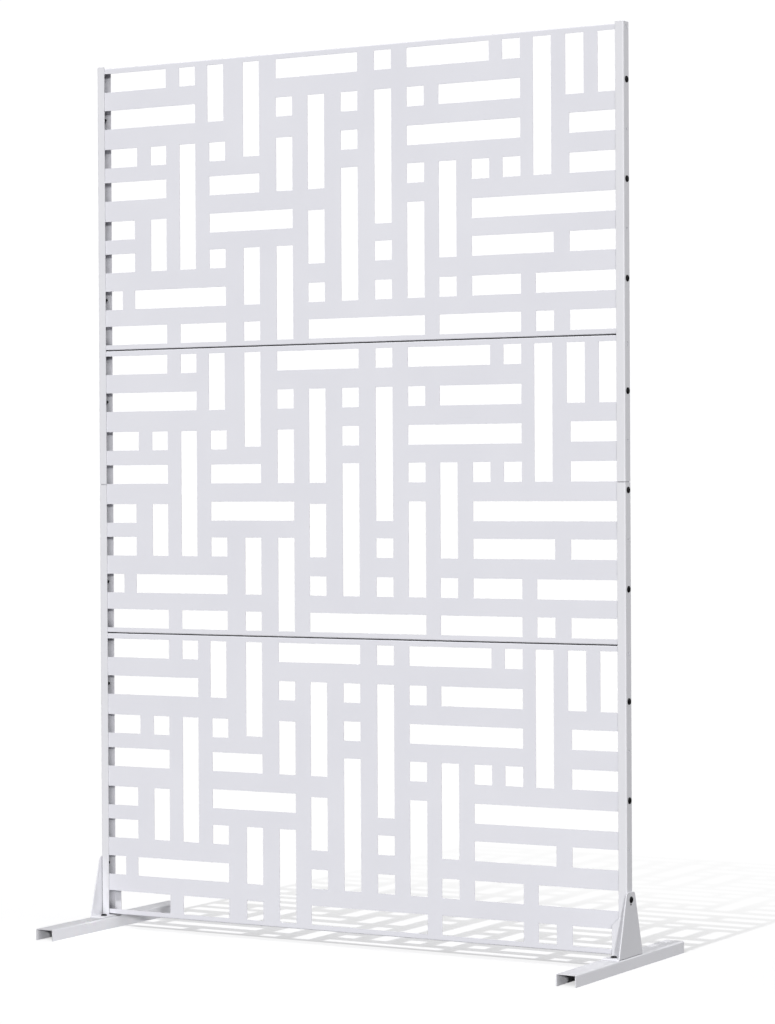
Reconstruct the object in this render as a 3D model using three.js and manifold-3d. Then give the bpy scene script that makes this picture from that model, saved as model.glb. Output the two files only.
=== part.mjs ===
// Garden privacy screen: three perforated steel trays bolted between two channel posts,
// each post standing in a gusset bracket on an inverted channel foot.
// Units are mm. +Z is up, +X runs along the screen, -Y is the front.
// The origin is on the floor, midway between the posts and midway along the feet.

import * as THREE from 'three';
import { mergeVertices } from 'three/addons/utils/BufferGeometryUtils.js';
import Module from 'manifold-3d';

const wasm = await Module();
wasm.setup();

// ---- driving dimensions -------------------------------------------------

const postWidth = 1240;       // outside face to outside face of the two posts

const post = { depth: 25, flange: 18, sheet: 1.5, bend: 2.5, jointGap: 1.6, jointAboveCentre: 15.5 };
const foot = { length: 480, width: 42, height: 24, sheet: 2, bend: 3, overhang: 4 };
const bracket = { plate: 2.5, bend: 2.5, aboveScrew: 14.5, baseHalf: 52, topHalf: 17, topRound: 8 };
const pilot = { radius: 2.2, belowScrew: 9 };          // locating hole under the bracket's screw
const baseFlange = { width: 34 };
const wing = { reach: 31.3, height: 75, chamfer: 13.5 };

const panelCount = 3;
const panel = { height: 597.5, sheet: 1, bend: 1.8, lip: 20, relief: 2.5 };
const panelGap = { between: 2.2, aboveBracket: 1.6, belowPostTop: 4, behindFlange: 0.5 };

const hole = { size: 40, height: 39.5, edge: 10.5 };   // the pattern's single opening

const thread = { radius: 3, length: 14, footLength: 12, tip: 0.8 };
const head = { radius: 6.5, rim: 1, crown: 1.9, shoulder: 6, top: 3.8, socket: 4, socketDepth: 1.7 };
const nut = { acrossFlats: 10, height: 5, bore: 3.05 };
const clearanceHole = 3.3;    // radius, a 6.6 hole for a 6 thread
const screwPitch = 191.5;     // three screws per panel side, centred on the panel
const spareHole = 2.5;        // radius of the empty holes halfway between screws
const adjustSlot = { width: 4.5, length: 9, below: 16, belowPostTop: 10.5 };
const footScrewY = 32;
const footScrewInset = 19;    // from the post's outside face

// ---- derived positions ---------------------------------------------------

const postX = postWidth / 2;
const webInside = postX - post.sheet;
const postFront = -post.depth / 2;
const panelFace = postFront + post.sheet + panelGap.behindFlange;
const footTop = foot.height;
const plateTop = footTop + bracket.plate;
const panelHalf = webInside;             // the side folds are bolted flat against the webs
const lipInside = panelHalf - panel.sheet;

const rowStep = panel.height + panelGap.between;
const panelBase = (row) => plateTop + panelGap.aboveBracket + (panelCount - 1 - row) * rowStep;
const panelCentre = (row) => panelBase(row) + panel.height / 2;
const screwHeights = (row) => [-1, 0, 1].map((k) => panelCentre(row) + k * screwPitch);
const postTop = panelBase(0) + panel.height + panelGap.belowPostTop;
const jointZ = panelCentre(Math.floor(panelCount / 2)) + post.jointAboveCentre;
const bracketScrewZ = screwHeights(panelCount - 1)[0];
const bracketHeight = bracketScrewZ + bracket.aboveScrew - footTop;

// ---- solids --------------------------------------------------------------

function toSolid(geometry) {
  const bare = geometry.clone();
  bare.deleteAttribute('normal');
  bare.deleteAttribute('uv');
  const merged = mergeVertices(bare, 1e-4);
  const index = merged.index.array;
  const keep = [];
  for (let i = 0; i < index.length; i += 3) {
    const [a, b, c] = [index[i], index[i + 1], index[i + 2]];
    if (a !== b && b !== c && a !== c) keep.push(a, b, c);
  }
  return new wasm.Manifold(new wasm.Mesh({
    numProp: 3,
    vertProperties: new Float32Array(merged.attributes.position.array),
    triVerts: new Uint32Array(keep),
  }));
}

function toGeometry(solid) {
  const mesh = solid.getMesh();
  const geometry = new THREE.BufferGeometry();
  geometry.setAttribute('position', new THREE.BufferAttribute(mesh.vertProperties, 3));
  geometry.setIndex(new THREE.BufferAttribute(mesh.triVerts, 1));
  return geometry;
}

const axis = {
  x: new THREE.Vector3(1, 0, 0),
  y: new THREE.Vector3(0, 1, 0),
  z: new THREE.Vector3(0, 0, 1),
};
const minus = (v) => v.clone().negate();

// Extrude a flat outline: u and v are the outline's axes, and u x v is the extrusion's.
function prism(shape, length, u, v, origin) {
  const geometry = new THREE.ExtrudeGeometry(shape, { depth: length, bevelEnabled: false, curveSegments: 5 });
  const along = new THREE.Vector3().crossVectors(u, v);
  geometry.applyMatrix4(new THREE.Matrix4().makeBasis(u, v, along).setPosition(...origin));
  return toSolid(geometry);
}

function block(x0, x1, y0, y1, z0, z1) {
  const geometry = new THREE.BoxGeometry(x1 - x0, y1 - y0, z1 - z0);
  geometry.translate((x0 + x1) / 2, (y0 + y1) / 2, (z0 + z1) / 2);
  return toSolid(geometry);
}

// A cone frustum along +X (or along +Z when upright), starting at the given point.
function frustum(r0, r1, length, origin, upright = false, sides = 16) {
  const geometry = new THREE.CylinderGeometry(r1, r0, length, sides);
  geometry.translate(0, length / 2, 0);
  if (upright) geometry.rotateX(Math.PI / 2);
  else geometry.rotateZ(-Math.PI / 2);
  geometry.translate(...origin);
  return toSolid(geometry);
}

const rod = (r, length, origin, upright, sides) => frustum(r, r, length, origin, upright, sides);
const joinAll = (solids) => solids.reduce((sum, next) => sum.add(next));

function mirrored(solid) {
  return solid.mirror([1, 0, 0]);
}

// ---- outlines of bent sheet ------------------------------------------------

const arcSteps = 5;

// Points on an arc, both ends included, from one angle to another.
function arc(cx, cy, r, from, to) {
  return Array.from({ length: arcSteps + 1 }, (_, i) => {
    const a = from + ((to - from) * i) / arcSteps;
    return [cx + r * Math.cos(a), cy + r * Math.sin(a)];
  });
}

// A closed outline in which no point repeats the one before it.
function outline(points) {
  const apart = ([ax, ay], [bx, by]) => Math.hypot(ax - bx, ay - by) > 1e-3;
  const kept = points.filter((p, i) => apart(p, points[(i + points.length - 1) % points.length]));
  return new THREE.Shape(kept.map(([x, y]) => new THREE.Vector2(x, y)));
}

// A channel section: the web lies on u = 0, and both flanges run to u = flange.
function channel(flange, depth, sheet, bend) {
  const q = Math.PI / 2;
  return outline([
    [flange, 0],
    ...arc(bend, bend, bend, -q, -2 * q),
    ...arc(bend, depth - bend, bend, 2 * q, q),
    [flange, depth],
    [flange, depth - sheet],
    ...arc(bend, depth - bend, bend - sheet, q, 2 * q),
    ...arc(bend, bend, bend - sheet, 2 * q, 3 * q),
    [flange, sheet],
  ]);
}

// A convex anticlockwise polygon, each corner rounded to the radius given with its point.
function rounded(points) {
  const corners = points.map(([x, y, r = 0], i) => {
    if (r === 0) return [[x, y]];
    const corner = new THREE.Vector2(x, y);
    const [px, py] = points[(i + points.length - 1) % points.length];
    const [nx, ny] = points[(i + 1) % points.length];
    const back = new THREE.Vector2(px, py).sub(corner).normalize();
    const ahead = new THREE.Vector2(nx, ny).sub(corner).normalize();
    const halfAngle = Math.acos(back.dot(ahead)) / 2;
    const toCentre = back.clone().add(ahead).normalize();
    const centre = corner.clone().addScaledVector(toCentre, r / Math.sin(halfAngle));
    const turn = Math.PI / 2 - halfAngle;
    const middle = toCentre.angle() + Math.PI;
    return arc(centre.x, centre.y, r, middle - turn, middle + turn);
  });
  return outline(corners.flat());
}

// ---- the cut-out pattern ---------------------------------------------------

// Openings sit on 16 columns and 8 rows. Column edges are measured from the panel's
// centre, row tops from its upper edge. The spacing is slightly uneven, as on the photo.
const columnLeft = [
  -panelHalf + hole.edge, -485, -411.5, -337, -253, -172.5, -96, -17,
  62, 137.5, 210.5, 285, 354.5, 427, 501.5, 563.5,
];
const rowTop = [11, 89.5, 167, 242.5, 320, 394.5, 473, 547.5];
const lastColumn = columnLeft.length - 1;

// One line per row of the pattern: [first column, last column, last row, shift right, shift down].
// The row in which an opening starts is the line's place in the list.
const openings = [
  [[0, 1, 0], [2, 2, 0], [3, 3, 1, -4], [4, 4, 2], [5, 7, 0], [8, 8, 0], [9, 11, 0], [12, 12, 0],
    [13, 13, 3, -4.5], [14, 14, 1, -8], [15, 15, 1]],
  [[0, 2, 1], [5, 5, 1], [6, 6, 3], [7, 7, 1], [8, 8, 4], [9, 9, 1], [10, 12, 1]],
  [[1, 1, 2, 0, 5], [2, 2, 5, 0, 5], [3, 3, 2, 0, 5], [5, 5, 3, 0, 5], [7, 7, 2], [9, 12, 2],
    [14, 15, 2, 0, -2]],
  [[0, 1, 3], [3, 4, 3], [7, 7, 6], [9, 9, 3], [10, 10, 5], [11, 11, 3], [12, 12, 3], [14, 15, 3]],
  [[1, 1, 5, 0, 5], [3, 5, 4], [6, 6, 5, 0, 5], [9, 9, 6], [11, 15, 4]],
  [[3, 3, 5], [4, 4, 6], [5, 5, 7], [8, 8, 5], [11, 13, 5], [14, 15, 5]],
  [[6, 6, 6], [8, 8, 6], [10, 10, 6], [11, 12, 6], [13, 15, 6]],
  [[0, 1, 7], [2, 3, 7], [4, 4, 7], [6, 9, 7], [10, 12, 7], [13, 13, 7], [14, 15, 7]],
];

// The few openings whose ends fall between columns: [row, left, right, shift down].
const offGrid = [
  [2, columnLeft[0], -519, 5],
  [4, columnLeft[0], -526, 5],
  [5, columnLeft[0], -526, 0],
  [6, columnLeft[0], -558, 0],
  [6, -527, columnLeft[3] + hole.size, 0],
];

function opening(left, right, top, bottom, upperEdge) {
  return block(left, right, panelFace - 1, panelFace + 3, upperEdge - bottom, upperEdge - top);
}

function patternCutter(upperEdge) {
  const cutters = [];
  openings.forEach((line, row) => line.forEach(([first, last, lastRow, right = 0, down = 0]) => {
    const endX = last === lastColumn ? panelHalf - hole.edge : columnLeft[last] + hole.size + right;
    const endZ = rowTop[lastRow] + hole.height + (lastRow === row ? down : 0);
    cutters.push(opening(columnLeft[first] + right, endX, rowTop[row] + down, endZ, upperEdge));
  }));
  offGrid.forEach(([row, left, right, down]) => {
    const top = rowTop[row] + down;
    cutters.push(opening(left, right, top, top + hole.height, upperEdge));
  });
  return joinAll(cutters);
}

// ---- the sheet-metal parts --------------------------------------------------

// A tray: the face with its four edges folded back, and a small relief in each corner.
function tray(row) {
  const base = panelBase(row);
  const { height, sheet, bend, lip, relief } = panel;
  const sides = prism(channel(lip, 2 * panelHalf, sheet, bend), height - 2 * relief,
    axis.y, minus(axis.x), [panelHalf, panelFace, base + relief]);
  const ends = prism(channel(lip, height, sheet, bend), 2 * (panelHalf - relief),
    axis.y, axis.z, [-panelHalf + relief, panelFace, base]);
  const bolts = screwHeights(row).map((z) => rod(clearanceHole, 2 * postWidth, [-postWidth, 0, z]));
  return sides.add(ends).subtract(patternCutter(base + height)).subtract(joinAll(bolts));
}

// A slot along Z through the post's web.
function webSlot(z) {
  const r = adjustSlot.width / 2;
  const reach = adjustSlot.length / 2 - r;
  const from = [webInside - 2, 0];
  const length = post.sheet + 4;
  return rod(r, length, [...from, z - reach])
    .add(rod(r, length, [...from, z + reach]))
    .add(block(from[0], from[0] + length, -r, r, z - reach, z + reach));
}

// Right-hand post section between two heights, with every hole that falls in it.
function postSection(z0, z1) {
  const section = prism(channel(post.flange, post.depth, post.sheet, post.bend), z1 - z0,
    minus(axis.x), axis.y, [postX, postFront, z1]);
  const cuts = [];
  for (let row = 0; row < panelCount; row += 1) {
    screwHeights(row).forEach((z) => cuts.push([z, rod(clearanceHole, 6, [webInside - 2, 0, z])]));
    [-0.5, 0.5].forEach((k) => {
      const z = panelCentre(row) + k * screwPitch;
      cuts.push([z, rod(spareHole, 6, [webInside - 2, 0, z])]);
    });
    const slotZ = row === 0
      ? postTop - adjustSlot.belowPostTop
      : panelBase(row) + panel.height - adjustSlot.below;
    cuts.push([slotZ, webSlot(slotZ)]);
  }
  cuts.push([bracketScrewZ, pilotHole()]);
  const mine = cuts.filter(([z]) => z > z0 && z < z1).map(([, solid]) => solid);
  return section.subtract(joinAll(mine));
}

// The locating hole under the bracket's screw goes through the bracket and the post's web.
const pilotHole = () => rod(pilot.radius, 8, [webInside - 2, 0, bracketScrewZ - pilot.belowScrew]);

function footChannel() {
  const left = postX + foot.overhang - foot.width;
  const body = prism(channel(foot.height, foot.width, foot.sheet, foot.bend), foot.length,
    minus(axis.z), axis.x, [left, foot.length / 2, footTop]);
  return body.subtract(joinAll(footScrewHoles()));
}

function footScrewHoles() {
  return [-1, 1].map((k) => rod(clearanceHole, 12,
    [postX - footScrewInset, k * footScrewY, footTop - 6], true));
}

// Gusset outside the web, folded under the post as a base flange, with a wing welded in the
// corner so that the post's foot is held on three sides.
function gussetBracket() {
  const { plate, bend, baseHalf, topHalf, topRound } = bracket;
  const outside = postX + plate;
  const inner = outside - plate - baseFlange.width;
  const angle = outline([
    [inner, 0],
    ...arc(outside - bend, bend, bend, -Math.PI / 2, 0),
    [outside, bracketHeight],
    [postX, bracketHeight],
    [postX, plate],
    [inner, plate],
  ]);
  const folded = prism(angle, 2 * baseHalf, axis.x, axis.z, [0, baseHalf, footTop]);
  const trapezoid = rounded([
    [-baseHalf, 0],
    [baseHalf, 0],
    [topHalf, bracketHeight, topRound],
    [-topHalf, bracketHeight, topRound],
  ]);
  const trim = prism(trapezoid, baseFlange.width + 20, axis.y, axis.z, [inner - 10, 0, footTop]);

  const wingEdge = postX - wing.reach;
  const wingOutline = outline([
    [wingEdge, plate / 2],
    [postX + plate / 2, plate / 2],
    [postX + plate / 2, wing.height],
    [wingEdge + wing.chamfer, wing.height],
    [wingEdge, wing.height - wing.chamfer],
  ]);
  const wingPlate = prism(wingOutline, plate, axis.x, axis.z, [0, postFront, footTop]);

  return folded.intersect(trim).add(wingPlate)
    .subtract(rod(clearanceHole, 8, [postX - 2, 0, bracketScrewZ]))
    .subtract(pilotHole())
    .subtract(joinAll(footScrewHoles()));
}

// ---- fasteners --------------------------------------------------------------

// Button-head screw turned about Z: the head's underside is at z = 0 and the thread points down.
function buttonScrew(length) {
  const crownTop = head.rim + head.crown;
  const profile = [
    [0, -length],
    [thread.radius - thread.tip, -length],
    [thread.radius, thread.tip - length],
    [thread.radius, 0],
    [head.radius, 0],
    [head.shoulder, head.rim],
    [head.top, crownTop],
    [0, crownTop],
  ];
  const turned = new THREE.LatheGeometry(profile.map(([r, z]) => new THREE.Vector2(r, z)), 16);
  turned.rotateX(Math.PI / 2);
  const socket = rod(head.socket / Math.sqrt(3), 2 * head.socketDepth,
    [0, 0, crownTop - head.socketDepth], true, 6);
  return toSolid(turned).subtract(socket);
}

// Hex nut along Z, its upper face at z = 0.
function hexNut() {
  const body = rod(nut.acrossFlats / Math.sqrt(3), nut.height, [0, 0, -nut.height], true, 6);
  return body.subtract(rod(nut.bore, nut.height + 2, [0, 0, -nut.height - 1], true));
}

// Turn a fastener from pointing down to pointing inward through the right-hand web.
const intoWeb = (solid, x, z) => solid.rotate([0, 90, 0]).translate([x, 0, z]);

// ---- assembly -----------------------------------------------------------------

const coat = { color: 0xe1e1e5, roughness: 0.5, metalness: 0.0 };
const blackSteel = { color: 0x17171a, roughness: 0.42, metalness: 0.6 };

const group = new THREE.Group();
group.name = 'garden_privacy_screen';

function addPart(name, solid, look) {
  const mesh = new THREE.Mesh(toGeometry(solid), new THREE.MeshStandardMaterial(look));
  mesh.name = name;
  group.add(mesh);
}

function addPair(name, solid, look) {
  addPart(`${name}_right`, solid, look);
  addPart(`${name}_left`, mirrored(solid), look);
}

['top', 'middle', 'bottom'].forEach((name, row) => addPart(`panel_${name}`, tray(row), coat));

addPair('post_upper', postSection(jointZ + post.jointGap / 2, postTop), coat);
addPair('post_lower', postSection(plateTop, jointZ - post.jointGap / 2), coat);
addPair('foot', footChannel(), coat);

// Both brackets are the same part: the left one is turned half a turn, so its wing is behind.
const rightBracket = gussetBracket();
addPart('bracket_right', rightBracket, coat);
addPart('bracket_left', rightBracket.rotate([0, 0, 180]), coat);

for (let row = 0; row < panelCount; row += 1) {
  screwHeights(row).forEach((z, k) => {
    const number = 3 * row + (3 - k);
    const seat = z === bracketScrewZ ? postX + bracket.plate : postX;
    addPair(`panel_screw_${number}`, intoWeb(buttonScrew(thread.length), seat, z), blackSteel);
    addPair(`panel_nut_${number}`, intoWeb(hexNut(), lipInside, z), blackSteel);
  });
}

['rear', 'front'].forEach((name, k) => {
  const at = [postX - footScrewInset, footScrewY * (1 - 2 * k)];
  addPair(`foot_screw_${name}`, buttonScrew(thread.footLength).translate([...at, plateTop]), blackSteel);
  addPair(`foot_nut_${name}`, hexNut().translate([...at, footTop - foot.sheet]), blackSteel);
});

export default group;
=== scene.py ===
import bpy, math
from mathutils import Matrix, Vector


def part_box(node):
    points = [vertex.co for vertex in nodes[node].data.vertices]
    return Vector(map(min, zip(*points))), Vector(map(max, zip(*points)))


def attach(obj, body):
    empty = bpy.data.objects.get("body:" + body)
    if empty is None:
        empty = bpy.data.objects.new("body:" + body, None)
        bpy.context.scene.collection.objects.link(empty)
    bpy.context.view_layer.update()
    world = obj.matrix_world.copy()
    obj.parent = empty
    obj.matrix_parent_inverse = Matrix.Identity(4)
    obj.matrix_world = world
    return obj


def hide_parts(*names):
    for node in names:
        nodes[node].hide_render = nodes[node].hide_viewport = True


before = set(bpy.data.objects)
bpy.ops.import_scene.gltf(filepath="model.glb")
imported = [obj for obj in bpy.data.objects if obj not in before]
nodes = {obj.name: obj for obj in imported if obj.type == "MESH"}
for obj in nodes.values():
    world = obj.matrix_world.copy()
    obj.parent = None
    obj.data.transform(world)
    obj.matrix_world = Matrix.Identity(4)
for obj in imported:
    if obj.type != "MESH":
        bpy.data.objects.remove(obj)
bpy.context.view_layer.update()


# ---- panels -------------------------------------------------------------------
# Three identical trays of 1 mm steel sheet, laser-cut, folded back on all four sides and
# powder-coated white. They stand on each other with a hairline seam and are bolted to the
# posts through their side folds.

def linear(hex_colour):
    """sRGB hex, such as "E2E2E7", as a linear colour with alpha."""
    channels = [int(hex_colour[i:i + 2], 16) / 255 for i in (0, 2, 4)]
    return [c / 12.92 if c <= 0.04045 else ((c + 0.055) / 1.055) ** 2.4 for c in channels] + [1.0]


def add_node(tree, kind, inputs=None, **props):
    """A new shader node: inputs maps a socket to a constant or to another node's output."""
    node = tree.nodes.new(kind)
    for key, value in props.items():
        setattr(node, key, value)
    for key, value in (inputs or {}).items():
        socket = node.inputs[key]
        if isinstance(value, bpy.types.NodeSocket):
            tree.links.new(value, socket)
        else:
            socket.default_value = value
    return node


def new_material(name):
    """An empty node material with its output, and object coordinates in metres."""
    material = bpy.data.materials.new(name)
    material.use_nodes = True
    tree = material.node_tree
    tree.nodes.clear()
    output = add_node(tree, "ShaderNodeOutputMaterial")
    place = add_node(tree, "ShaderNodeTexCoord").outputs["Object"]
    return material, tree, output, place


def powder_coat(name, colour, deep, painted_hole_shade_at=None):
    """Polyester powder, sprayed dry and baked, white with a trace of lavender. The eye gets a
    satin face with a fine orange-peel grain, a faint cloudiness where the coat is thicker, and
    a soft line of light where it rounds over each cut edge. Slits, holes and inside corners get
    painted shade, darker towards grey. Given a height in metres, the wall of a hole on the X axis
    at that height is painted near-black as shade."""
    material, tree, output, place = new_material(name)
    cloud_scale = 5.0       # patches about 200 mm across
    speck_scale = 2200.0    # powder grain of about 0.5 mm, coarser than real so that it shows
    peel_scale = 900.0      # orange peel of about 1.1 mm
    edge_radius = 0.00045   # the coat's rounding over a cut edge
    painted_shade_reach = 0.03       # how far the painted shade looks into slits, holes and inside corners
    painted_hole_radius = 0.00235   # the pilot hole's wall and a thin rim, painted near-black as shade
    cloud = add_node(tree, "ShaderNodeTexNoise", {"Vector": place, "Scale": cloud_scale,
                                                  "Detail": 3.0, "Roughness": 0.55})
    speck = add_node(tree, "ShaderNodeTexNoise", {"Vector": place, "Scale": speck_scale,
                                                  "Detail": 2.0})
    cloudiness = add_node(tree, "ShaderNodeMapRange", {
        "Value": cloud.outputs["Fac"], "From Min": 0.32, "From Max": 0.68,
        "To Min": 0.0, "To Max": 0.5})
    grain = add_node(tree, "ShaderNodeMapRange", {
        "Value": speck.outputs["Fac"], "From Min": 0.35, "From Max": 0.65,
        "To Min": 0.0, "To Max": 0.3})
    depth = add_node(tree, "ShaderNodeMath", {0: cloudiness.outputs["Result"],
                                              1: grain.outputs["Result"]}, operation="ADD")
    tint = add_node(tree, "ShaderNodeMix", {"Factor": depth.outputs[0], 6: linear(colour),
                                            7: linear(deep)}, data_type="RGBA")
    rough = add_node(tree, "ShaderNodeMapRange", {
        "Value": speck.outputs["Fac"], "From Min": 0.3, "From Max": 0.7,
        "To Min": 0.40, "To Max": 0.52})

    # Orange peel over the finer powder grain, on a surface whose edges are rounded.
    peel = add_node(tree, "ShaderNodeTexNoise", {"Vector": place, "Scale": peel_scale,
                                                 "Detail": 1.5})
    rounded = add_node(tree, "ShaderNodeBevel", {"Radius": edge_radius}, samples=6)
    peel_bump = add_node(tree, "ShaderNodeBump", {
        "Height": peel.outputs["Fac"], "Strength": 0.16, "Distance": 0.00012,
        "Normal": rounded.outputs["Normal"]})
    grain_bump = add_node(tree, "ShaderNodeBump", {
        "Height": speck.outputs["Fac"], "Strength": 0.12, "Distance": 0.00004,
        "Normal": peel_bump.outputs["Normal"]})

    # Painted shade: where little light reaches, in slits, holes and inside corners, the colour is
    # darkened towards grey.
    open_sky = add_node(tree, "ShaderNodeAmbientOcclusion", {"Distance": painted_shade_reach},
                        samples=8)
    painted_recess_shade = add_node(tree, "ShaderNodeMapRange", {"Value": open_sky.outputs["AO"],
                                                   "From Min": 0.12, "From Max": 0.42})
    # The grey 5A5A60 is painted shade, laid where the ambient-occlusion mask finds cover.
    shade = add_node(tree, "ShaderNodeMix", {"Factor": painted_recess_shade.outputs["Result"],
                                             6: linear("5A5A60"), 7: tint.outputs[2]},
                     data_type="RGBA")
    # Painted shade: a near-black disc around the pilot hole's axis, where the hole looks dark.
    if painted_hole_shade_at:
        beside = add_node(tree, "ShaderNodeVectorMath", {0: place, 1: (0, 1, 1)},
                          operation="MULTIPLY")
        reach = add_node(tree, "ShaderNodeVectorMath", {
            0: beside.outputs[0], 1: (0, 0, painted_hole_shade_at)}, operation="DISTANCE")
        outside_hole_shade = add_node(tree, "ShaderNodeMath", {0: reach.outputs["Value"], 1: painted_hole_radius},
                          operation="GREATER_THAN")
        shade = add_node(tree, "ShaderNodeMix", {"Factor": outside_hole_shade.outputs[0], 6: linear("1C1C1F"),
                                                 7: shade.outputs[2]}, data_type="RGBA")
    coat = add_node(tree, "ShaderNodeBsdfPrincipled", {
        "Base Color": shade.outputs[2], "Roughness": rough.outputs["Result"],
        "Normal": grain_bump.outputs["Normal"]})
    tree.links.new(coat.outputs["BSDF"], output.inputs["Surface"])
    return material


def hand_in(piece, material, node=None):
    """Finish a piece: its material, its body and the CAD node it stands for."""
    piece.data.materials.clear()
    piece.data.materials.append(material)
    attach(piece, "root")
    if node:
        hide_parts(node)


def only(piece):
    """Select this piece alone and make it active."""
    bpy.ops.object.select_all(action="DESELECT")
    piece.select_set(True)
    bpy.context.view_layer.objects.active = piece


def sprung_panel(node, material):
    """The tray with its long folds sprung open a little, as a press brake leaves them, so that
    neighbours all but meet at the back of the seam."""
    low, high = (Vector(v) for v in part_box(node))
    bend_depth = 0.0018               # the bend's outer radius
    spring = math.radians(3.3)
    fold_reach = 0.0013               # a little over the sheet, so the fold's both faces count
    same_point = 0.000002
    hair = 0.00001
    fold_start = low.y + bend_depth
    piece = bpy.data.objects.new(node + "_folded", nodes[node].data.copy())
    bpy.context.scene.collection.objects.link(piece)
    only(piece)
    bpy.ops.object.mode_set(mode="EDIT")
    bpy.ops.mesh.select_all(action="SELECT")
    bpy.ops.mesh.remove_doubles(threshold=same_point)
    for edge, upward in ((high.z, 1), (low.z, -1)):
        bpy.ops.mesh.select_all(action="DESELECT")
        bpy.ops.mesh.select_mode(type="VERT")
        bpy.ops.object.mode_set(mode="OBJECT")
        for vertex in piece.data.vertices:
            at_edge = abs(vertex.co.z - edge) < fold_reach
            vertex.select = at_edge and vertex.co.y > fold_start - hair
        bpy.ops.object.mode_set(mode="EDIT")
        bpy.ops.transform.rotate(value=-spring * upward, orient_axis="X",
                                 center_override=(0, fold_start, edge))
    bpy.ops.object.mode_set(mode="OBJECT")
    bpy.ops.object.shade_flat()
    hand_in(piece, material, node)


panel_coat = powder_coat("white_powder_coat_panel", "E6E6EC", "DFDFE6")
for row in ("top", "middle", "bottom"):
    sprung_panel(f"panel_{row}", panel_coat)


# ---- posts and feet ---------------------------------------------------------------
# Each post is a channel folded from 1.5 mm steel, in two lengths that meet at mid height. Each
# foot is a wider inverted channel of 2 mm steel, open at both ends. All are powder-coated.

def dress(name, material):
    """Give a CAD node its finish."""
    mesh = nodes[name].data
    mesh.materials.clear()
    mesh.materials.append(material)


frame_coat = powder_coat("white_powder_coat_frame", "E6E6EA", "E0E0E5")
for side in ("right", "left"):
    for part in ("post_upper", "post_lower", "foot"):
        dress(f"{part}_{side}", frame_coat)


# ---- brackets -----------------------------------------------------------------------
# A gusset of 2.5 mm steel folded with its base flange, with a wing plate welded into the corner.
# The rippled bead lies under the coat, in front of the wing on the right and behind it on the
# left. The wall of the pilot hole under the screw is painted near-black as shade.

def weld_bead(name, corner, low, high, ripple=0.0013, radius=0.0019):
    """A row of overlapping drops up the corner, one for each ripple, made into one skin."""
    bpy.ops.object.select_all(action="DESELECT")
    bpy.ops.mesh.primitive_uv_sphere_add(segments=20, ring_count=12, radius=radius,
                                         location=(*corner, low + radius))
    bead = bpy.context.object
    bead.name = name
    bpy.ops.object.transform_apply(location=True, rotation=False, scale=False)
    row = bead.modifiers.new("ripples", "ARRAY")
    row.use_relative_offset = False
    row.use_constant_offset = True
    row.constant_offset_displace = (0, 0, ripple)
    row.count = int((high - low - 2 * radius) / ripple) + 1
    bpy.ops.object.modifier_apply(modifier=row.name)
    skin = bead.modifiers.new("one_skin", "REMESH")
    skin.mode = "VOXEL"
    skin.voxel_size = 0.0003
    bpy.ops.object.modifier_apply(modifier=skin.name)
    bpy.ops.object.shade_smooth()
    hand_in(bead, bracket_coat)


pilot_height = 0.12635
corner_x, corner_y = 0.620, -0.015
bead_low, bead_high = 0.0270, 0.0985
# The bracket coat carries the pilot hole's painted near-black shade.
bracket_coat = powder_coat("white_powder_coat_bracket", "E6E6EA", "E0E0E5",
                           painted_hole_shade_at=pilot_height)
for side, sign in (("right", 1), ("left", -1)):
    dress(f"bracket_{side}", bracket_coat)
    weld_bead(f"bracket_weld_{side}", (corner_x * sign, corner_y * sign), bead_low,
              bead_high)


# ---- fasteners --------------------------------------------------------------------
# Black M6 truss-head screws with a 4 mm hex socket, and hex nuts 10 mm across flats: steel,
# cold-formed, with rolled threads of 1 mm pitch, plated in black zinc.

def black_steel(name):
    """Black zinc on steel: deep black with a soft gloss, finely mottled by the plating."""
    material, tree, output, place = new_material(name)
    mottle_scale = 1500.0   # blotches of about 0.7 mm
    mottle = add_node(tree, "ShaderNodeTexNoise", {"Vector": place, "Scale": mottle_scale,
                                                   "Detail": 4.0})
    tone = add_node(tree, "ShaderNodeMix", {"Factor": mottle.outputs["Fac"], 6: linear("0C0C0E"),
                                            7: linear("151517")}, data_type="RGBA")
    rough = add_node(tree, "ShaderNodeMapRange", {"Value": mottle.outputs["Fac"],
                                                  "To Min": 0.34, "To Max": 0.55})
    bump = add_node(tree, "ShaderNodeBump", {"Height": mottle.outputs["Fac"], "Strength": 0.15,
                                             "Distance": 0.00003})
    steel = add_node(tree, "ShaderNodeBsdfPrincipled", {
        "Base Color": tone.outputs[2], "Metallic": 0.9, "Roughness": rough.outputs["Result"],
        "Normal": bump.outputs["Normal"]})
    tree.links.new(steel.outputs["BSDF"], output.inputs["Surface"])
    return material


def turned_blank(profile, sides=36):
    """A closed round blank drawn up from its lowest face. The profile holds (radius, height)."""
    radius, height = profile[0]
    bpy.ops.object.select_all(action="DESELECT")
    bpy.ops.mesh.primitive_circle_add(vertices=sides, radius=radius, fill_type="NGON",
                                      location=(0, 0, height))
    blank = bpy.context.object
    bpy.ops.object.transform_apply(location=True, rotation=False, scale=False)
    bpy.ops.object.mode_set(mode="EDIT")
    bpy.ops.mesh.select_mode(type="FACE")
    bpy.ops.mesh.select_all(action="SELECT")
    for (radius, height), (next_radius, next_height) in zip(profile, profile[1:]):
        spread = next_radius / radius
        bpy.ops.mesh.extrude_region_move(
            TRANSFORM_OT_translate={"value": (0, 0, next_height - height)})
        bpy.ops.transform.resize(value=(spread, spread, 1), center_override=(0, 0, 0))
    bpy.ops.mesh.select_all(action="SELECT")
    bpy.ops.mesh.normals_make_consistent(inside=False)
    bpy.ops.object.mode_set(mode="OBJECT")
    return blank


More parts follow.
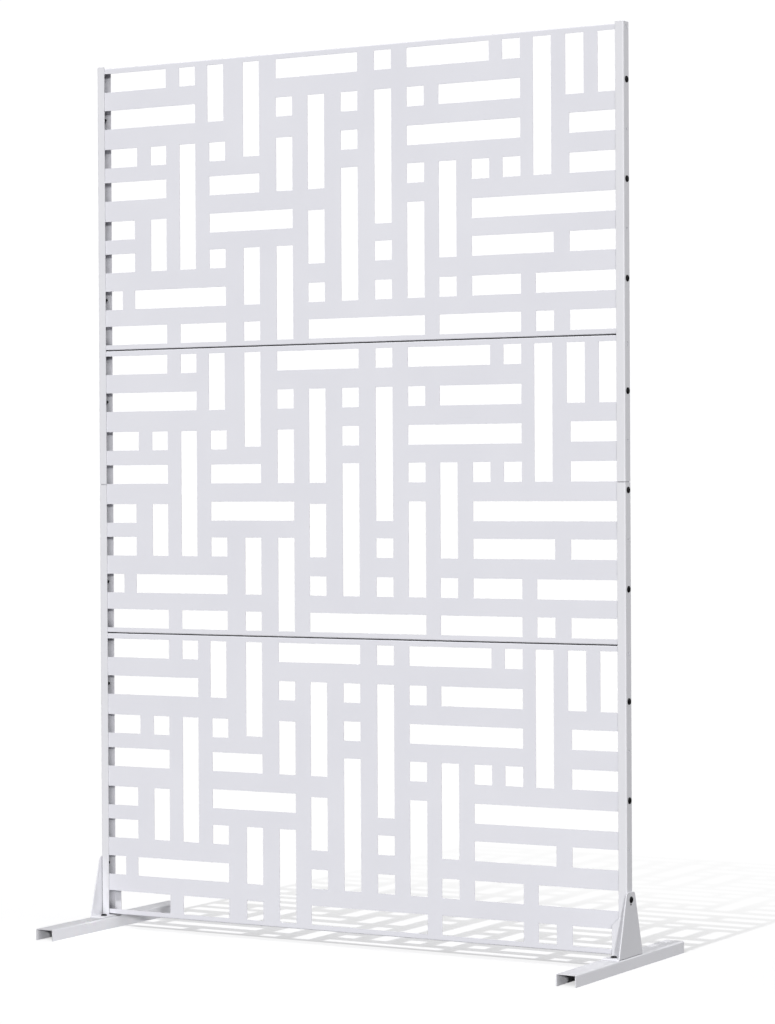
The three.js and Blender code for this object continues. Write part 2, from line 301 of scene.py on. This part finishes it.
def roll_thread(blank, low, high, depth, pitch=0.001, lead=0.0008):
    """Press a helical thread into the blank's shank: the radius falls and rises once a pitch."""
    for vertex in blank.data.vertices:
        x, y, height = vertex.co
        if low < height < high:
            phase = (height / pitch - math.atan2(y, x) / (2 * math.pi)) % 1.0
            tooth = min(1.0, max(0.0, 1.25 * (1 - abs(2 * phase - 1)) - 0.12))
            fade = min(1.0, (height - low) / lead, (high - height) / lead)
            squeeze = 1 - depth * fade * (1 - tooth) / math.hypot(x, y)
            vertex.co.x *= squeeze
            vertex.co.y *= squeeze


def carve(body, tool, operation):
    """Cut the tool out of the body, or keep only what they share, and delete the tool."""
    cut = body.modifiers.new("cut", "BOOLEAN")
    cut.operation = operation
    cut.solver = "EXACT"
    cut.object = tool
    only(body)
    bpy.ops.object.modifier_apply(modifier=cut.name)
    bpy.data.objects.remove(tool)


def shank(radius, low, high, step=0.00014):
    """The profile of a plain round length, in steps fine enough to take a thread."""
    count = round((high - low) / step)
    return [(radius, low + (high - low) * k / count) for k in range(count + 1)]


def hex_bar(across_flats, low, high):
    """A six-sided bar, the stock for a nut and the punch for a socket."""
    bpy.ops.object.select_all(action="DESELECT")
    bpy.ops.mesh.primitive_cylinder_add(vertices=6, radius=across_flats / math.sqrt(3),
                                        depth=high - low, location=(0, 0, (low + high) / 2))
    bpy.ops.object.transform_apply(location=True, rotation=False, scale=False)
    return bpy.context.object


sharp_angle = math.radians(32)    # edges turned by more than this stay crisp


def screw_model(length):
    """The head's underside is at height 0 and the thread hangs below."""
    thread_radius, thread_depth = 0.00298, 0.00062
    tip_radius, tip_length, first_ring = 0.0022, 0.0008, 0.00094
    crown_centre, crown_width = 0.0033, 0.0032
    rim_height, crown_height = 0.00045, 0.00248
    socket_size, socket_floor, socket_top = 0.004, 0.0013, 0.004
    crown_steps = 8
    head = [(0.0063, 0.0), (0.00646, 0.0001), (0.0065, 0.0004)]    # the rounded rim
    for k in range(1, crown_steps + 1):
        swing = k / crown_steps * math.radians(70)
        head.append((crown_centre + crown_width * math.cos(swing),
                     rim_height + crown_height * math.sin(swing)))
    tip = [(tip_radius, -length), (thread_radius, -length + tip_length)]
    model = turned_blank(tip + shank(thread_radius, -length + first_ring, 0.0) + head)
    roll_thread(model, -length + tip_length, 0.0, thread_depth)
    carve(model, hex_bar(socket_size, socket_floor, socket_top), "DIFFERENCE")
    bpy.ops.object.shade_smooth_by_angle(angle=sharp_angle)
    return model


def nut_model(height=0.005):
    """The nut's seat is at height 0, with the nut below. Its corners are chamfered on a lathe."""
    across_flats = 0.010
    face, corner = 0.00475, 0.0059    # radius of the flat face, and past the corners
    bore_radius, thread_depth = 0.00335, 0.0008
    overrun, thread_runout = 0.0005, 0.0002
    slope = (corner - face) * math.tan(math.radians(30))
    model = hex_bar(across_flats, -height, 0.0)
    lathe = turned_blank([(face, -height), (corner, slope - height), (corner, -slope),
                          (face, 0.0)])
    carve(model, lathe, "INTERSECT")
    tap = turned_blank(shank(bore_radius, -height - overrun, overrun))
    roll_thread(tap, -height - thread_runout, thread_runout, thread_depth)
    carve(model, tap, "DIFFERENCE")
    bpy.ops.object.shade_smooth_by_angle(angle=sharp_angle)
    return model


def fasten(model, node, suffix, outward, above_seat=0.0):
    """Set a copy of the model in its CAD node's box, its top where the box ends outward."""
    low, high = (Vector(v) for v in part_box(node))
    middle = (low + high) / 2
    axis = max(range(3), key=lambda i: abs(outward[i]))
    middle[axis] = (high if outward[axis] > 0 else low)[axis]
    middle -= Vector(outward) * above_seat
    turn = Vector((0, 0, 1)).rotation_difference(Vector(outward)).to_matrix().to_4x4()
    mesh = model.data.copy()
    mesh.transform(Matrix.Translation(middle) @ turn)
    piece = bpy.data.objects.new(node + suffix, mesh)
    bpy.context.scene.collection.objects.link(piece)
    hand_in(piece, fastener_black, node)


fastener_black = black_steel("black_zinc_steel")
head_rise = 0.0029    # the head's top over its seat
panel_length, foot_length = 0.014, 0.012
panel_screw, foot_screw = screw_model(panel_length), screw_model(foot_length)
hex_nut = nut_model()
for side, sign in (("right", 1), ("left", -1)):
    for number in range(1, 10):
        fasten(panel_screw, f"panel_screw_{number}_{side}", "_turned", (sign, 0, 0), head_rise)
        fasten(hex_nut, f"panel_nut_{number}_{side}", "_formed", (sign, 0, 0))
    for end in ("front", "rear"):
        fasten(foot_screw, f"foot_screw_{end}_{side}", "_turned", (0, 0, 1), head_rise)
        fasten(hex_nut, f"foot_nut_{end}_{side}", "_formed", (0, 0, 1))
for model in (panel_screw, foot_screw, hex_nut):
    bpy.data.objects.remove(model)


# ---- studio --------------------------------------------------------------------------
# A white sweep floor that keeps the pattern's shadow and pales with distance, in a white
# surround. A high key in front, a low softer key from the right and a fill behind light the
# screen, and two soft lamps are flagged to reach only the feet and the left bracket.

def studio_floor():
    """Near the screen the floor takes the shadow. Further off, and in front of the feet, a
    white glow takes over, and for all but the camera it is a plain grey card."""
    floor_side = 400
    bounce = 0.28                        # what the floor throws back onto the screen
    glow_slope, glow_base = -0.764, 1.024    # the glow makes up what the matte part leaves
    bpy.ops.object.select_all(action="DESELECT")
    bpy.ops.mesh.primitive_plane_add(size=floor_side)
    floor = bpy.context.object
    floor.name = "studio_floor"
    material, tree, output, place = new_material("white_sweep")
    away = add_node(tree, "ShaderNodeSeparateXYZ", {"Vector": place}).outputs["Y"]
    fade = add_node(tree, "ShaderNodeMapRange", {
        "Value": away, "From Min": 0.05, "From Max": 1.0, "To Min": 1.0, "To Max": 0.17})
    near = add_node(tree, "ShaderNodeMapRange", {
        "Value": away, "From Min": -0.24, "From Max": -0.06, "To Min": 0.35, "To Max": 1.0})
    shadow = add_node(tree, "ShaderNodeMath", {0: fade.outputs[0], 1: near.outputs[0]},
                      operation="MULTIPLY")
    eye = add_node(tree, "ShaderNodeLightPath").outputs["Is Camera Ray"]
    tone = add_node(tree, "ShaderNodeMapRange", {"Value": eye, "To Min": bounce,
                                                 "To Max": shadow.outputs[0]})
    matte = add_node(tree, "ShaderNodeBsdfDiffuse", {"Color": tone.outputs["Result"]})
    fill = add_node(tree, "ShaderNodeMath", {0: shadow.outputs[0], 1: glow_slope,
                                             2: glow_base}, operation="MULTIPLY_ADD")
    lift = add_node(tree, "ShaderNodeMath", {0: fill.outputs[0], 1: eye}, operation="MULTIPLY")
    glow = add_node(tree, "ShaderNodeEmission", {"Color": (1, 1, 1, 1),
                                                 "Strength": lift.outputs[0]})
    sweep = add_node(tree, "ShaderNodeAddShader", {0: matte.outputs["BSDF"], 1: glow.outputs[0]})
    tree.links.new(sweep.outputs[0], output.inputs["Surface"])
    floor.data.materials.append(material)


def surround():
    """A soft even light, which the eye and every reflection see as white."""
    lighting, seen_as = 0.42, 1.05
    world = bpy.data.worlds.new("white_surround")
    bpy.context.scene.world = world
    world.use_nodes = True
    tree = world.node_tree
    tree.nodes.clear()
    output = add_node(tree, "ShaderNodeOutputWorld")
    path = add_node(tree, "ShaderNodeLightPath")
    mirrored = add_node(tree, "ShaderNodeMath", {0: path.outputs["Is Glossy Ray"],
                                                 1: path.outputs["Is Transmission Ray"]},
                        operation="MAXIMUM")
    seen = add_node(tree, "ShaderNodeMath", {0: path.outputs["Is Camera Ray"],
                                             1: mirrored.outputs[0]}, operation="MAXIMUM")
    strength = add_node(tree, "ShaderNodeMapRange", {"Value": seen.outputs[0],
                                                     "To Min": lighting, "To Max": seen_as})
    glow = add_node(tree, "ShaderNodeBackground", {"Color": (0.99, 0.99, 1.0, 1),
                                                   "Strength": strength.outputs["Result"]})
    tree.links.new(glow.outputs[0], output.inputs["Surface"])


def distant_light(name, azimuth, elevation, strength, width):
    """A distant soft light, angles in degrees. Azimuth 0 is in front and turns towards +X."""
    data = bpy.data.lights.new(name, "SUN")
    data.energy = strength
    data.angle = math.radians(width)
    light = bpy.data.objects.new(name, data)
    a, e = math.radians(azimuth), math.radians(elevation)
    source = Vector((math.sin(a) * math.cos(e), -math.cos(a) * math.cos(e), math.sin(e)))
    light.rotation_euler = source.to_track_quat("Z", "Y").to_euler()
    bpy.context.scene.collection.objects.link(light)
    return light


def link_light(light, receivers, state):
    """Keep a light off the receivers, or for them alone, as a flag or a card on a stand does."""
    group = bpy.data.collections.new(f"{light.name}_{state.lower()}")
    for receiver in receivers:
        group.objects.link(receiver)
    light.light_linking.receiver_collection = group
    for entry in group.collection_objects:
        entry.light_linking.link_state = state


studio_floor()
surround()
distant_light("key_high", azimuth=0.0, elevation=48.5, strength=1.36, width=0.9)
low_key = distant_light("key_low_right", azimuth=40.5, elevation=12.0, strength=1.55, width=5.0)
fill = distant_light("fill_behind", azimuth=200.0, elevation=8.0, strength=1.5, width=30.0)
fill.visible_glossy = False
for light in (low_key, fill):
    link_light(light, [bpy.data.objects["studio_floor"]], "EXCLUDE")
for name, strength, lit in (("card_right", 0.28, ("foot_right", "bracket_left")),
                            ("card_left", 0.96, ("foot_left",))):
    card = distant_light(name, azimuth=78.0, elevation=5.0, strength=strength, width=20.0)
    link_light(card, [nodes[part] for part in lit], "INCLUDE")


# ---- camera ------------------------------------------------------------------------------
# A long lens, about 107 mm on a 36 mm frame, at waist height 6.2 m from the screen and to its
# right. It is nearly level, unshifted and rolled by about 0.3 degrees.

def photo_camera():
    """The view that was fitted to the openings, posts and feet."""
    focal_pixels, frame_pixels, frame_width = 3029.9, 1024, 36
    position = (3.1630, -5.2806, 0.9412)
    data = bpy.data.cameras.new("photo_view")
    data.sensor_width = frame_width
    data.lens = focal_pixels / frame_pixels * frame_width
    data.clip_start, data.clip_end = 0.1, 500
    camera = bpy.data.objects.new("photo_view", data)
    yaw, pitch, roll = (math.radians(v) for v in (30.256, -0.538, -0.288))
    ahead = Vector((-math.sin(yaw) * math.cos(pitch), math.cos(yaw) * math.cos(pitch),
                    math.sin(pitch)))
    right = Vector((math.cos(yaw), math.sin(yaw), 0))
    up = right.cross(ahead)
    across = right * math.cos(roll) + up * math.sin(roll)
    upright = up * math.cos(roll) - right * math.sin(roll)
    camera.matrix_world = Matrix.Translation(position) @ Matrix(
        (across, upright, -ahead)).transposed().to_4x4()
    bpy.context.scene.collection.objects.link(camera)
    bpy.context.scene.camera = camera


photo_camera()
bpy.context.scene.view_settings.view_transform = "Standard"
